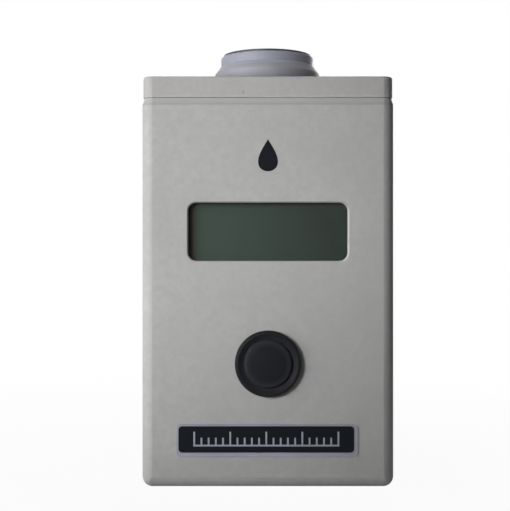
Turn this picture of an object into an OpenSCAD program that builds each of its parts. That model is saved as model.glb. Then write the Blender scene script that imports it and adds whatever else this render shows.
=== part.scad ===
// Pocket moisture meter with a round contact sensor on top of a two-shell plastic case.
// Millimetres. X runs left to right, Y front to back and Z up. The front faces -Y, and the
// origin is the middle of the base that the meter stands on.

/* [Case] */
// Width of the front face on each side of the display opening
side_w = 14.8; // [13:0.1:22]
// Height of the front face above the display opening, with the cover
top_h = 40.45; // [36:0.05:60]
// Wall thickness of the shells and the cover
wall = 2.5; // [2.2:0.1:2.8]
// Outer radius of the long edges and of the bottom edges
edge_r = 3.3; // [2.8:0.1:3.8]
// Radius of the corners inside the case
inner_r = 0.8; // [0.4:0.1:1.5]
// Depth of the rear shell, from the back face to the parting line
rear_shell_d = 17; // [14:0.5:20]
// Gap that shows between the shells
seam_gap = 0.2; // [0.1:0.05:0.4]
// How far the front shell's tongue reaches into the rear shell
tongue_h = 1.5; // [1:0.1:2.5]
// Thickness of that tongue
tongue_t = 1.1; // [0.8:0.1:1.3]

/* [Top cover] */
// Height of the cover that shows above the shells
cover_h = 6.7; // [5.5:0.1:9]
// Shadow gap between the cover and the shells
cover_gap = 0.15; // [0.1:0.05:0.6]
// How far the cover stands in from the faces of the shells
cover_inset = 0.3; // [0:0.1:1]
// Radius of the cover's top edge
cover_edge_r = 0.8; // [0.4:0.1:1.5]
// Height of the sloped rim at the top of the shells
rim_h = 2; // [1:0.1:3]
// How far that rim slopes inwards
rim_inset = 0.7; // [0.4:0.1:1.2]
// How far the cover's skirt reaches into the shells
skirt_h = 5; // [4:0.1:6]
// Wall thickness of the skirt
skirt_t = 1.6; // [1.2:0.1:2]
// How far the snap bead stands out of the skirt
bead_out = 0.5; // [0.3:0.05:0.8]
// Height of the snap bead
bead_h = 1.2; // [0.8:0.1:1.6]

/* [Display] */
// Width of the display opening
window_w = 51.2; // [44:0.2:56]
// Height of the display opening
window_h = 18.7; // [15:0.1:22]
// Corner radius of the display opening
window_r = 2.7; // [1.5:0.1:4]
// Gap between the button's bezel and the opening
window_gap = 22.15; // [20:0.05:40]
// Bevel around the opening
window_bevel = 0.35; // [0.2:0.05:0.6]
// Thickness of the clear pane behind the opening
pane_t = 1.5; // [1:0.1:2]
// Overlap of the pane behind the opening's edge
pane_lap = 2.5; // [1.5:0.1:3]
// Thickness of the liquid crystal cell
lcd_t = 2.8; // [2:0.1:3.2]
// Overlap of the cell behind the opening's edge
lcd_lap = 3.6; // [2.8:0.1:4]
// Thickness of the rubber contact strips behind the cell
strip_t = 2.2; // [1.6:0.1:3]
// Height of each contact strip
strip_h = 2; // [1.5:0.1:2.5]
// Wall thickness of the frame that holds the cell
frame_t = 2.4; // [1.8:0.1:3]
// Thickness of the frame's front lip
frame_lip_t = 0.8; // [0.6:0.1:1.2]

/* [Measuring button] */
// Gap between the name plate and the button's bezel
button_gap = 8.7; // [5:0.1:16]
// Height of the bezel's crest above the front face
bezel_h = 2.6; // [2:0.1:3.4]
// Diameter of the push cap
cap_d = 15.5; // [13:0.1:18]
// Height of the middle of the push cap above the front face
cap_h = 3.4; // [3:0.1:4.4]
// Height of the straight edge below the cap's round shoulder
cap_edge_t = 0.5; // [0.4:0.1:0.9]
// Radius of the cap's round shoulder
cap_shoulder = 1.1; // [0.8:0.1:1.3]
// Rise of the cap's shallow dome
cap_dome = 0.6; // [0.4:0.1:0.8]
// Travel of the button
button_travel = 1.5; // [1:0.1:1.6]
// Wall of the switch barrel around the cap
barrel_wall = 1.3; // [1:0.1:1.8]
// How far the bezel stands out around the barrel
bezel_lip = 1.4; // [1:0.1:2.4]
// Radius of the bezel's outer edge
bezel_round = 1; // [0.7:0.1:1.2]
// Depth of the slope inside the bezel's crest
bezel_dish = 1.1; // [0.7:0.1:1.3]
// Length of the barrel behind the front face
barrel_h = 8.5; // [8:0.1:9.5]
// Diameter of the cap's stem
stem_d = 6; // [5:0.1:6.4]
// Wire diameter of the return spring
spring_wire = 0.5; // [0.4:0.05:0.6]
// Turns of the return spring
spring_turns = 5; // [4:1:6]
// Thickness of the gasket under the bezel
button_gasket_t = 0.4; // [0.3:0.05:0.6]
// Thickness of the lock washer
washer_t = 0.8; // [0.5:0.1:1.2]
// Width of the nut around the barrel
nut_ring = 1.8; // [1.4:0.1:2.4]
// Thickness of the nut
nut_t = 3; // [2.4:0.1:3.4]
// Thickness of the switch's base plate
switch_base_t = 1.8; // [1.4:0.1:2]
// Length of the solder lugs behind the base plate
lug_l = 3; // [2.4:0.1:3.2]

/* [Sensor] */
// Diameter of the sensor head
sensor_d = 31; // [27:0.2:32]
// Height of the sensor's face above the cover
sensor_rise = 9.6; // [9:0.1:11]
// Thickness of the head's upper disc
head_h = 4.9; // [3.8:0.1:5.2]
// Radius of the head's top edge
head_edge_r = 0.5; // [0.3:0.1:0.7]
// How far the head flares out at its lower edge
head_flare = 0.9; // [0.3:0.1:1.1]
// Height of that flare
head_flare_h = 1.2; // [0.8:0.1:1.6]
// How far the collar stands out around the head
collar_out = 2; // [1.3:0.1:2.2]
// Height of the collar's rounded foot
collar_foot_h = 3.1; // [2:0.1:3.2]
// Radius of that foot's outline
collar_round = 5.5; // [4.5:0.1:9]
// Height of the bevels on both sides of the seam between the head and the collar
groove_bevel = 0.4; // [0.1:0.05:0.5]
// Depth of those bevels
groove_depth = 0.15; // [0.05:0.05:0.3]
// Thickness of the gasket under the collar
sensor_gasket_t = 0.5; // [0.3:0.1:0.8]
// Diameter of the sensor's shank
shank_d = 19; // [17.6:0.2:21]
// Wall thickness of the hollow shank
shank_t = 1.6; // [1.3:0.1:2]
// Length of the shank below the cover's top face
shank_l = 9; // [7.6:0.1:10]
// Thickness of the ring nut
ring_nut_t = 3.6; // [3:0.1:4]
// Width of the ring nut around the shank
ring_nut_w = 3; // [2.4:0.1:3.6]
// Diameter of the centre electrode
centre_d = 8; // [6:0.2:9]
// Gap between the centre electrode and the ring electrode
electrode_gap = 1.8; // [1.2:0.1:2.2]
// Margin of the head around the ring electrode
ring_margin = 0.9; // [0.7:0.1:5]
// Thickness of the electrodes
electrode_t = 1.2; // [1:0.1:1.5]
// How far the electrodes stand out of the head
electrode_rise = 0.7; // [0.3:0.1:0.8]
// Diameter of the electrodes' pins
pin_d = 1.2; // [0.8:0.1:1.4]

/* [Battery] */
// Width of the block battery
battery_w = 26.5; // [24:0.1:28]
// Thickness of the block battery
battery_t = 17.5; // [15.5:0.1:17.5]
// Length of the block battery without its studs
battery_l = 46.4; // [44:0.1:48]
// Thickness of the foam pad under the battery
pad_t = 1; // [0.6:0.1:1.2]
// Height of the battery's underside above the base
battery_z = 7; // [6.6:0.1:8]
// Thickness of the snap connector
clip_t = 4.8; // [4:0.1:6]
// Room above the connector for its leads
lead_room = 4.6; // [4:0.1:6]
// Wall thickness of the battery well
well_t = 1.6; // [1.2:0.1:2]
// Diameter of the battery leads
lead_d = 1.4; // [1:0.1:1.8]

/* [Battery door] */
// How far the door covers the case beside the battery well
door_lip = 3.25; // [2:0.05:6]
// Thickness of the door
door_t = 2; // [1.8:0.1:2.2]
// How far the door covers the case above the battery well
door_lap = 3; // [2:0.5:6]
// How far the door's side runners reach under the case
runner_w = 1.2; // [0.8:0.1:1.6]
// Thickness of the side runners
runner_t = 1; // [0.8:0.1:1.1]
// How far the door's foot reaches forwards under the case
foot_l = 5; // [4:0.1:6]
// Number of ridges in the thumb grip
grip_ridges = 6; // [4:1:8]
// Spacing of those ridges
grip_pitch = 1.8; // [1.4:0.1:2.2]

/* [Circuit board] */
// Thickness of the circuit boards
board_t = 1.6; // [1:0.1:2]
// Gap between the main board and the side walls
board_side = 4.5; // [3:0.1:6]
// Room behind the main board, in front of the battery well
part_room = 4.1; // [3.6:0.1:8]
// Diameter of the board's standoffs
standoff_d = 6; // [5:0.1:6.4]
// Diameter of the screws' threads
screw_d = 2.4; // [2:0.1:2.6]
// Diameter of the screws' heads
screw_head_d = 4.6; // [4:0.1:5]
// Height of the screws' heads
screw_head_h = 1.8; // [1.4:0.1:2.2]
// Length of the board screws' threads
board_screw_l = 6; // [5:0.5:7]
// Length of the controller chip
controller_l = 17; // [12:0.5:18]
// Width of the controller chip
controller_w = 9; // [7:0.5:10]
// Length of the amplifier chips
amplifier_l = 7; // [5:0.5:8]
// Width of the amplifier chips
amplifier_w = 5; // [4:0.5:6]
// Thickness of the chips
chip_t = 2; // [1.5:0.1:2.6]
// Diameter of the capacitors
capacitor_d = 6.3; // [5:0.1:7]
// Height of the capacitors
capacitor_h = 7; // [5:0.5:9]
// Width of the trimmers
trimmer_w = 6.8; // [5:0.1:7.4]
// Height of the trimmers
trimmer_h = 4.8; // [4:0.1:6]
// Width of the wire sockets
socket_w = 8; // [7:0.1:9]
// Height of the wire sockets on the board
socket_t = 3.2; // [2.6:0.1:3.4]

/* [Case screws] */
// Diameter of the screw bosses
boss_d = 7; // [6.6:0.1:8]
// Height of the lower screws above the base
boss_low_z = 9; // [8:0.5:12]
// Gap between the cover's skirt and the upper bosses
boss_gap = 2.3; // [1:0.1:3]
// Length of the case screws' threads
case_screw_l = 20; // [17:0.5:22]
// Depth of the screw heads below the back face
head_sink = 1.2; // [0.6:0.1:2]

/* [Name plate] */
// Width of the plate
plate_w = 58; // [52:0.5:64]
// Height of the plate
plate_h = 10.6; // [9:0.2:13]
// Thickness of the plate
plate_t = 0.3; // [0.2:0.05:0.5]
// Corner radius of the plate
plate_r = 1.6; // [1:0.1:2]
// Height of the middle of the plate above the base
plate_z = 15.2; // [12:0.1:18]
// How far the plate sits to the left of the middle
plate_shift = 0.2; // [0:0.1:1]
// Margin of the black panel at the left
panel_left = 0.6; // [0.5:0.1:1.2]
// Margin of the black panel at the right
panel_right = 1.3; // [0.8:0.1:2]
// Margin of the black panel at the top
panel_top = 0.7; // [0.6:0.1:1.3]
// Margin of the black panel at the bottom
panel_bottom = 1.5; // [1:0.1:2]
// Thickness of the black panel
panel_t = 0.12; // [0.1:0.02:0.2]

/* [Fits] */
// Clearance around pieces that are assembled and stay put
fit = 0.1; // [0.05:0.01:0.15]
// Clearance around pieces that slide
slide_fit = 0.15; // [0.1:0.01:0.2]
// Clearance of the button's stem in its guide
guide_fit = 0.08; // [0.04:0.01:0.1]
// Clearance of a thread in its hole, on the radius
thread_fit = 0.02; // [0.01:0.01:0.05]

/* [Hidden] */
$fn = 64;
over = 1;

// Button sizes, measured outwards from the front face
cap_r = cap_d / 2;
bore_r = cap_r + slide_fit;
barrel_r = bore_r + barrel_wall;
bezel_r = barrel_r + bezel_lip;
nut_flats = 2 * (barrel_r + nut_ring);
dome_r = (cap_r * cap_r + cap_dome * cap_dome) / (2 * cap_dome);
shoulder_x = cap_r - cap_shoulder;
shoulder_z = cap_h - dome_r + sqrt(dome_r * dome_r - shoulder_x * shoulder_x) - cap_shoulder;
cap_under = shoulder_z - cap_edge_t;
pocket_floor = cap_under - button_travel - slide_fit;
bridge_t = 0.5;
bridge_r = stem_d / 2 + 1.5;
guide_r = stem_d / 2 + guide_fit;
spring_bore_r = stem_d / 2 + 2 * spring_wire + 2 * slide_fit + 0.4;
chamber_r = bridge_r + 1.2;
rivet_h = 0.3;
rivet_r = 1.2;
rivet_gap = 0.05;
chamber_top = -barrel_h + rivet_h + rivet_gap + button_travel + bridge_t + slide_fit;
spring_seat = chamber_top + 1.5;
lug_x = 3;
lug_w = 2.4;
lug_t = 0.6;
stem_end = chamber_top - slide_fit;

// Heights on the front face, each from the one below it
button_z = plate_z + plate_h / 2 + button_gap + bezel_r;
window_z = button_z + bezel_r + window_gap + window_h / 2;
case_h = window_z + window_h / 2 + top_h;
case_w = window_w + 2 * side_w;

// The depth is what the display, the board and the battery need, one behind the other
case_d = wall + pane_t + fit + frame_lip_t + lcd_t + strip_t + board_t + part_room + well_t + pad_t
    + battery_t + 2 * slide_fit + door_t;
front_y = -case_d / 2;
back_y = case_d / 2;
front_in_y = front_y + wall;
back_in_y = back_y - wall;
split_y = back_y - rear_shell_d;
pane_back_y = front_in_y + pane_t;
frame_front_y = pane_back_y + fit;
lcd_front_y = frame_front_y + frame_lip_t;
lcd_back_y = lcd_front_y + lcd_t;
board_front_y = lcd_back_y + strip_t;
board_back_y = board_front_y + board_t;
door_in_y = back_y - door_t;
battery_back_y = door_in_y - 2 * slide_fit;
battery_front_y = battery_back_y - battery_t;
well_floor_y = battery_front_y - pad_t;
well_front_y = well_floor_y - well_t;

// Heights of the cover and the sensor
cover_z = case_h - cover_h;
shell_top = cover_z - cover_gap;
rim_z = shell_top - rim_h;
skirt_z = cover_z - skirt_h;
bead_z = skirt_z + bead_h;
cover_in_z = case_h - wall;
sensor_top = case_h + sensor_rise;
head_z = sensor_top - head_h;
head_top = sensor_top - electrode_rise;
collar_z = case_h + fit;
collar_r = sensor_d / 2 + collar_out;
seam_r = sensor_d / 2 + head_flare;
foot_r = collar_r - collar_round + sqrt(collar_round * collar_round - collar_foot_h * collar_foot_h);
gasket_r = foot_r - 1.3;
shank_z = case_h - shank_l;
ring_nut_d = shank_d + 2 * ring_nut_w;
ring_in_d = centre_d + 2 * electrode_gap;
ring_out_d = sensor_d - 2 * ring_margin;

// Heights of the battery and its well
well_low_z = battery_z;
studs_z = battery_z + battery_l;
clip_top_z = studs_z + clip_t;
well_high_z = clip_top_z + lead_room;
door_h = well_high_z + door_lap;

// Case screws
boss_high_z = skirt_z - boss_gap - boss_d / 2;
boss_x = case_w / 2 - wall - boss_d / 2 + tongue_t / 2;
screw_seat_y = back_y - head_sink - screw_head_h;

// Display and board sizes that follow the opening
pane_w = window_w + 2 * pane_lap;
pane_h = window_h + 2 * pane_lap;
lcd_w = window_w + 2 * lcd_lap;
lcd_h = window_h + 2 * lcd_lap;
frame_w = lcd_w + 2 * (frame_t + fit);
frame_h = lcd_h + 2 * (frame_t + fit);
board_w = case_w - 2 * (wall + board_side);
board_edge = standoff_d / 2 + 0.5;
standoff_x = board_w / 2 - board_edge;
standoff_low_z = window_z - frame_h / 2 - standoff_d / 2 - 1;
standoff_high_z = window_z + frame_h / 2 + standoff_d / 2 + 1;
board_low_z = standoff_low_z - board_edge;
board_high_z = standoff_high_z + board_edge;

// Battery well and door
well_w = battery_w + 10 * fit;
door_w = well_w + 2 * door_lip;
channel_y = door_in_y - slide_fit;
stud_x = 6.35;
stud_h = 2.4;
plus_d = 5.7;
minus_d = 7.8;
lead_x = 4;
lead_pitch = 3;

// Parts on the board's back, from its left and its right edge
amplifier_x = amplifier_l / 2 + 3.9 - board_w / 2;
controller_x = amplifier_x + amplifier_l / 2 + 2 + controller_l / 2;
capacitor_x = board_w / 2 - capacitor_d / 2 - 8.25;
trimmer_pitch = trimmer_w + 3.2;
trimmer_z = board_high_z - trimmer_w / 2 - 2;

// Sockets on the board, for the battery, the switch and the sensor
socket_h = 5;
battery_socket_z = well_high_z + well_t + 7.5;
switch_socket_z = board_low_z + 1.5;
sensor_socket_z = board_high_z - 1 - socket_h;
sensor_socket_x = 9;
switch_lead_d = 1;
sensor_lead_d = 2.4;
switch_lead_y = front_y + barrel_h + switch_base_t + lug_l - switch_lead_d / 2 - 0.3;

// Colours
case_grey = [0.70, 0.69, 0.66];
rubber_black = [0.08, 0.08, 0.09];
moulded_black = [0.11, 0.11, 0.12];
sensor_white = [0.72, 0.74, 0.80];
steel = [0.72, 0.72, 0.70];
brass = [0.78, 0.62, 0.30];

// A flat rectangle with round corners, centred
module round_rect(w, h, r) {
    square([w - 2 * r, h], center = true);
    square([w, h - 2 * r], center = true);
    for (sx = [-1, 1], sy = [-1, 1])
        translate([sx * (w / 2 - r), sy * (h / 2 - r)]) circle(r);
}

// An upright plate with that outline and its corners round in plan
module round_plate(w, d, r, h) {
    linear_extrude(h) round_rect(w, d, r);
}

// A block with round upright edges and a round-edged bottom
module round_bottom_block(w, d, h, r) {
    translate([0, 0, r]) round_plate(w, d, r, h - r);
    translate([0, 0, r / 2]) cube([w - 2 * r, d - 2 * r, r], center = true);
    for (sx = [-1, 1], sy = [-1, 1])
        translate([sx * (w / 2 - r), sy * (d / 2 - r), r]) sphere(r);
    for (sy = [-1, 1])
        translate([0, sy * (d / 2 - r), r]) rotate([0, 90, 0]) cylinder(r = r, h = w - 2 * r, center = true);
    for (sx = [-1, 1])
        translate([sx * (w / 2 - r), 0, r]) rotate([90, 0, 0]) cylinder(r = r, h = d - 2 * r, center = true);
}

// A plate whose four sides and corners slope inwards by inset over its height
module sloped_plate(w, d, r, h, inset) {
    rotate([90, 0, 90]) linear_extrude(w - 2 * r, center = true)
        polygon([[-d / 2, 0], [d / 2, 0], [d / 2 - inset, h], [inset - d / 2, h]]);
    rotate([90, 0, 0]) linear_extrude(d - 2 * r, center = true)
        polygon([[-w / 2, 0], [w / 2, 0], [w / 2 - inset, h], [inset - w / 2, h]]);
    for (sx = [-1, 1], sy = [-1, 1])
        translate([sx * (w / 2 - r), sy * (d / 2 - r), 0]) cylinder(r1 = r, r2 = r - inset, h = h);
}

// A plate with round upright edges and a small radius along its top edge
module soft_top_plate(w, d, h, r, top_r) {
    round_plate(w, d, r, h - top_r);
    round_plate(w - 2 * top_r, d - 2 * top_r, r - top_r, h);
    for (sy = [-1, 1])
        translate([0, sy * (d / 2 - top_r), h - top_r]) rotate([0, 90, 0])
            cylinder(r = top_r, h = w - 2 * r, center = true);
    for (sx = [-1, 1])
        translate([sx * (w / 2 - top_r), 0, h - top_r]) rotate([90, 0, 0])
            cylinder(r = top_r, h = d - 2 * r, center = true);
    for (sx = [-1, 1], sy = [-1, 1])
        translate([sx * (w / 2 - r), sy * (d / 2 - r), h - top_r]) rotate_extrude()
            translate([r - top_r, 0]) circle(top_r);
}

// A box given by its two corners
module box(low, high) {
    translate(low) cube(high - low);
}

// Children stand on a vertical plane at y, looking outwards at the front
module facing_front(y, z = 0, x = 0) {
    translate([x, y, z]) rotate([90, 0, 0]) children();
}

// Children stand on a vertical plane at y, pointing backwards
module facing_back(y, z = 0, x = 0) {
    translate([x, y, z]) rotate([-90, 0, 0]) children();
}

// Places along a smooth route through the points, straight in its first and its last stretch,
// and a round tube swept along it
function along(p, i) = i < 0 ? 2 * p[0] - p[1] : i >= len(p) ? 2 * p[len(p) - 1] - p[len(p) - 2] : p[i];
function smooth(p, i, t) =
    let (a = along(p, i - 1), b = along(p, i), c = along(p, i + 1), d = along(p, i + 2))
    0.5 * (2 * b + (c - a) * t + (2 * a - 5 * b + 4 * c - d) * t * t + (3 * b - a - 3 * c + d) * t * t * t);
function route(p, steps) = let (last = len(p) - 1)
    concat([p[0]], [for (i = [1:last - 2], k = [0:steps - 1]) smooth(p, i, k / steps)],
        [p[last - 1], p[last]]);
function heading(p, i) = let (v = along(p, i + 1) - along(p, i - 1)) v / norm(v);
function ring(p, i, r, side, sides) =
    let (t = heading(p, i), u = cross(t, side) / norm(cross(t, side)), v = cross(t, u))
    [for (k = [0:sides - 1]) p[i] + r * (cos(360 * k / sides) * u + sin(360 * k / sides) * v)];
function tube_points(p, r, side, sides) = [for (i = [0:len(p) - 1]) each ring(p, i, r, side, sides)];
function tube_faces(rings, sides) = concat(
    [[for (k = [0:sides - 1]) k]],
    [[for (k = [sides - 1:-1:0]) (rings - 1) * sides + k]],
    [for (i = [0:rings - 2], k = [0:sides - 1])
        let (a = i * sides + k, b = i * sides + (k + 1) % sides) [a, a + sides, b + sides, b]]);

module tube(points, d, side = [1, 0, 0], sides = 8, steps = 6) {
    p = route(points, steps);
    polyhedron(points = tube_points(p, d / 2, side, sides), faces = tube_faces(len(p), sides));
}

// The outer form that both shells are cut from, with the sloped rim at its top
module case_form() {
    round_bottom_block(case_w, case_d, rim_z, edge_r);
    translate([0, 0, rim_z]) sloped_plate(case_w, case_d, edge_r, rim_h, rim_inset);
}

// The hollow inside the shells
module case_hollow() {
    translate([0, 0, wall])
        round_bottom_block(case_w - 2 * wall, case_d - 2 * wall, case_h, inner_r);
}

// The groove inside the shells that the cover's bead snaps into
module bead_groove() {
    reach = bead_out - slide_fit + fit;
    w = case_w - 2 * wall + 2 * reach;
    d = case_d - 2 * wall + 2 * reach;
    translate([0, 0, bead_z]) round_plate(w, d, inner_r + reach, bead_h + 2 * fit);
}

// The band inside the wall that holds the tongue, from y to y + length
module tongue_band(y, length, thickness) {
    difference() {
        box([wall - thickness - case_w / 2, y, wall - thickness],
            [case_w / 2 - wall + thickness, y + length, skirt_z - 0.3]);
        box([wall - case_w / 2, y - over, wall], [case_w / 2 - wall, y + length + over, case_h]);
    }
}

// Screw positions of the two shells and of the board
module at_bosses() {
    for (sx = [-1, 1], z = [boss_low_z, boss_high_z]) translate([sx * boss_x, 0, z]) children();
}

module at_standoffs() {
    for (sx = [-1, 1], z = [standoff_low_z, standoff_high_z]) translate([sx * standoff_x, 0, z]) children();
}

module front_shell() {
    color(case_grey) difference() {
        union() {
            difference() {
                intersection() {
                    case_form();
                    box([-case_w, front_y - over, -over], [case_w, split_y - seam_gap / 2, case_h]);
                }
                case_hollow();
                bead_groove();
            }
            front_tongue();
            at_bosses() facing_back(front_in_y - fit) cylinder(d = boss_d, h = split_y - front_in_y + fit);
            at_standoffs() facing_back(front_in_y - fit)
                cylinder(d = standoff_d, h = board_front_y - front_in_y + fit);
            pane_seat();
            wall_ribs(front_in_y - fit, split_y - 3);
        }
        display_opening();
        facing_front(front_y, button_z) translate([0, 0, -wall - over])
            cylinder(r = barrel_r + fit, h = wall + 2 * over);
        at_bosses() facing_back(screw_seat_y - case_screw_l - 1)
            cylinder(d = screw_d, h = case_screw_l);
        at_standoffs() facing_back(board_back_y - board_screw_l - 0.5)
            cylinder(d = screw_d, h = board_screw_l);
    }
}

module front_tongue() {
    tongue_band(split_y - seam_gap / 2 - fit, tongue_h + fit, tongue_t);
}

// Low ribs that locate the pane
module pane_seat() {
    facing_back(front_in_y - fit, window_z) difference() {
        round_plate(pane_w + 2 * fit + 2, pane_h + 2 * fit + 2, 1, pane_t * 0.6 + fit);
        translate([0, 0, -over]) round_plate(pane_w + 2 * fit, pane_h + 2 * fit, 0.3, pane_t + 2 * over);
    }
}

// Upright ribs on the side walls, between y and the end y
module wall_ribs(y, end) {
    x = case_w / 2 - wall - 0.75;
    for (sx = [-1, 1], z = [28, 46])
        translate([sx * x, (y + end) / 2, z]) cube([1.7, end - y, 1.2], center = true);
}

// The opening in the front wall, with its bevelled edge
module display_opening() {
    facing_front(front_y, window_z) {
        translate([0, 0, -wall - over]) round_plate(window_w, window_h, window_r, wall + 2 * over);
        translate([0, 0, fit]) mirror([0, 0, 1])
            sloped_plate(window_w + 2 * window_bevel + 2 * fit, window_h + 2 * window_bevel + 2 * fit,
                window_r + window_bevel + fit, window_bevel + fit, window_bevel + fit);
    }
}

module rear_shell() {
    color(case_grey) difference() {
        union() {
            difference() {
                intersection() {
                    case_form();
                    box([-case_w, split_y + seam_gap / 2, -over], [case_w, back_y + over, case_h]);
                }
                case_hollow();
                bead_groove();
            }
            battery_well_walls();
            door_frame_block();
            at_bosses() facing_back(split_y) cylinder(d = boss_d, h = rear_shell_d - wall + fit);
            wall_ribs(split_y + 3, back_in_y + fit);
        }
        battery_well_hollow();
        door_channel();
        tongue_band(split_y - over, tongue_h + over + slide_fit, tongue_t + slide_fit);
        at_bosses() {
            facing_back(split_y - over) cylinder(d = screw_d + 4 * fit, h = rear_shell_d + 2 * over);
            facing_back(screw_seat_y) cylinder(d = screw_head_d + 4 * fit, h = rear_shell_d);
        }
    }
}

module battery_well_walls() {
    box([-well_w / 2 - well_t, well_front_y, well_low_z - well_t],
        [well_w / 2 + well_t, back_in_y + fit, well_high_z + well_t]);
}

module battery_well_hollow() {
    box([-well_w / 2, well_floor_y, well_low_z], [well_w / 2, back_y, well_high_z]);
    box([lead_x - lead_pitch, well_floor_y + 4, well_high_z - over],
        [lead_x + lead_pitch, well_floor_y + 10, well_high_z + well_t + over]);
}

// The thicker wall around the door that its runners slide in
module door_frame_block() {
    box([-door_w / 2 - runner_w - 2, channel_y - door_t, wall / 2],
        [door_w / 2 + runner_w + 2, back_in_y + fit, door_h + 2]);
}

module door_channel() {
    top = door_h + slide_fit;
    half = door_w / 2 + slide_fit;
    box([-half, channel_y, -over], [half, back_y + over, top]);
    box([-half - runner_w, channel_y, -over], [half + runner_w, door_in_y + runner_t + slide_fit, top]);
    box([-half, back_y - foot_l - slide_fit, -over], [half, back_y, wall + slide_fit]);
}

module top_cover() {
    slack = slide_fit;
    w = case_w - 2 * wall - 2 * slack;
    d = case_d - 2 * wall - 2 * slack;
    color(case_grey) difference() {
        union() {
            translate([0, 0, cover_z])
                soft_top_plate(case_w - 2 * cover_inset, case_d - 2 * cover_inset, cover_h,
                    edge_r - cover_inset, cover_edge_r);
            translate([0, 0, skirt_z]) round_plate(w, d, inner_r, skirt_h + over);
            translate([0, 0, bead_z])
                round_plate(w + 2 * bead_out, d + 2 * bead_out, inner_r + bead_out, bead_h);
        }
        translate([0, 0, skirt_z - over])
            round_plate(w - 2 * skirt_t, d - 2 * skirt_t, inner_r, cover_in_z - skirt_z + over);
        translate([0, 0, cover_in_z - over]) cylinder(d = shank_d + 4 * fit, h = wall + 2 * over);
    }
}

module battery_door() {
    color(case_grey) difference() {
        intersection() {
            union() {
                box([-door_w / 2, door_in_y, 0], [door_w / 2, back_y, door_h]);
                box([-door_w / 2 - runner_w, door_in_y, 0],
                    [door_w / 2 + runner_w, door_in_y + runner_t, door_h]);
                box([-door_w / 2, back_y - foot_l, 0], [door_w / 2, back_y, wall]);
            }
            case_form();
        }
        thumb_grip();
    }
}

// A shallow dish in the door's upper half, with ridges left standing in it
module thumb_grip() {
    depth = door_t / 2;
    grip_h = (grip_ridges + 1) * grip_pitch;
    grip_w = 14;
    grip_z = door_h - 8 - grip_h / 2;
    facing_back(back_y - depth, grip_z) difference() {
        round_plate(grip_w, grip_h, 1.5, depth + over);
        for (i = [0:grip_ridges - 1])
            translate([0, (i - (grip_ridges - 1) / 2) * grip_pitch, -over])
                linear_extrude(over + depth * 0.8) square([grip_w - 3, grip_pitch * 0.4], center = true);
    }
}

// A pan-head screw that points forwards from the plane of its head's underside
module pan_screw(d, length, head_d, head_h) {
    facing_front(0) cylinder(d = d - 2 * thread_fit, h = length);
    facing_back(0) difference() {
        cylinder(d1 = head_d, d2 = head_d - head_h * 0.6, h = head_h);
        for (a = [0, 90])
            rotate([0, 0, a]) translate([0, 0, head_h]) cube([head_d * 0.5, 0.7, 1.4], center = true);
    }
}

module case_screws() {
    color(steel) at_bosses() translate([0, screw_seat_y, 0])
        pan_screw(screw_d, case_screw_l, screw_head_d, screw_head_h);
}

module name_plate() {
    color([0.58, 0.60, 0.63]) facing_front(front_y, plate_z, -plate_shift)
        round_plate(plate_w, plate_h, plate_r, plate_t);
}

module name_plate_panel() {
    w = plate_w - panel_left - panel_right;
    h = plate_h - panel_top - panel_bottom;
    x = (panel_left - panel_right) / 2 - plate_shift;
    z = plate_z + (panel_bottom - panel_top) / 2;
    color(moulded_black) facing_front(front_y - plate_t, z, x)
        round_plate(w, h, plate_r - 0.4, panel_t);
}

module display_pane() {
    color([0.80, 0.86, 0.84, 0.4]) facing_back(front_in_y, window_z)
        round_plate(pane_w, pane_h, 0.6, pane_t);
}

module lcd_cell() {
    color([0.30, 0.34, 0.31]) facing_back(lcd_front_y, window_z) {
        translate([0, 0, 0]) round_plate(lcd_w, lcd_h, 0.3, lcd_t / 2);
        translate([0, 0, lcd_t / 2]) round_plate(lcd_w, lcd_h - 3, 0.3, lcd_t / 2);
    }
}

module lcd_frame() {
    color(moulded_black) facing_back(frame_front_y, window_z) difference() {
        union() {
            round_plate(frame_w, frame_h, 1, board_front_y - frame_front_y);
            for (sx = [-1, 1]) translate([sx * (frame_w / 2 - 8), 0, 0])
                round_plate(4, frame_h + 2, 0.5, board_front_y - frame_front_y);
        }
        translate([0, 0, frame_lip_t])
            round_plate(lcd_w + 2 * fit, lcd_h + 2 * fit, 0.4, 2 * (lcd_t + strip_t));
        translate([0, 0, -over]) round_plate(window_w + 1, window_h + 1, window_r, frame_lip_t + 2 * over);
    }
}

module contact_strips() {
    color([0.25, 0.25, 0.27]) for (sz = [-1, 1])
        facing_back(lcd_back_y, window_z + sz * (lcd_h / 2 - 1.5 - strip_h / 2 - fit))
            round_plate(lcd_w - 4, strip_h, 0.3, strip_t);
}

module main_board() {
    color([0.10, 0.32, 0.18]) difference() {
        facing_back(board_front_y, (board_low_z + board_high_z) / 2)
            round_plate(board_w, board_high_z - board_low_z, 1.5, board_t);
        at_standoffs() facing_back(board_front_y - over)
            cylinder(d = screw_d + 4 * fit, h = board_t + 2 * over);
    }
}

module board_screws() {
    color(steel) at_standoffs() translate([0, board_back_y, 0])
        pan_screw(screw_d, board_screw_l, screw_head_d, screw_head_h);
}

// A chip on the back of the board: its body with sloped sides, and two rows of legs
module chip(x, z, w, h, legs) {
    pitch = w / (legs + 1);
    facing_back(board_back_y, z, x) {
        translate([0, 0, 0.3]) sloped_plate(w, h, 0.3, chip_t, 0.2);
        for (s = [-1, 1], i = [1:legs])
            translate([i * pitch - w / 2, s * h / 2, 0.4]) cube([pitch * 0.4, 1.8, 0.8], center = true);
    }
}

module controller_chip() {
    color([0.13, 0.13, 0.14]) chip(controller_x, window_z + 4, controller_l, controller_w, 12);
}

module amplifier_chips() {
    color([0.13, 0.13, 0.14]) for (z = [-6, 14])
        chip(amplifier_x, window_z + z, amplifier_l, amplifier_w, 4);
}

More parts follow.
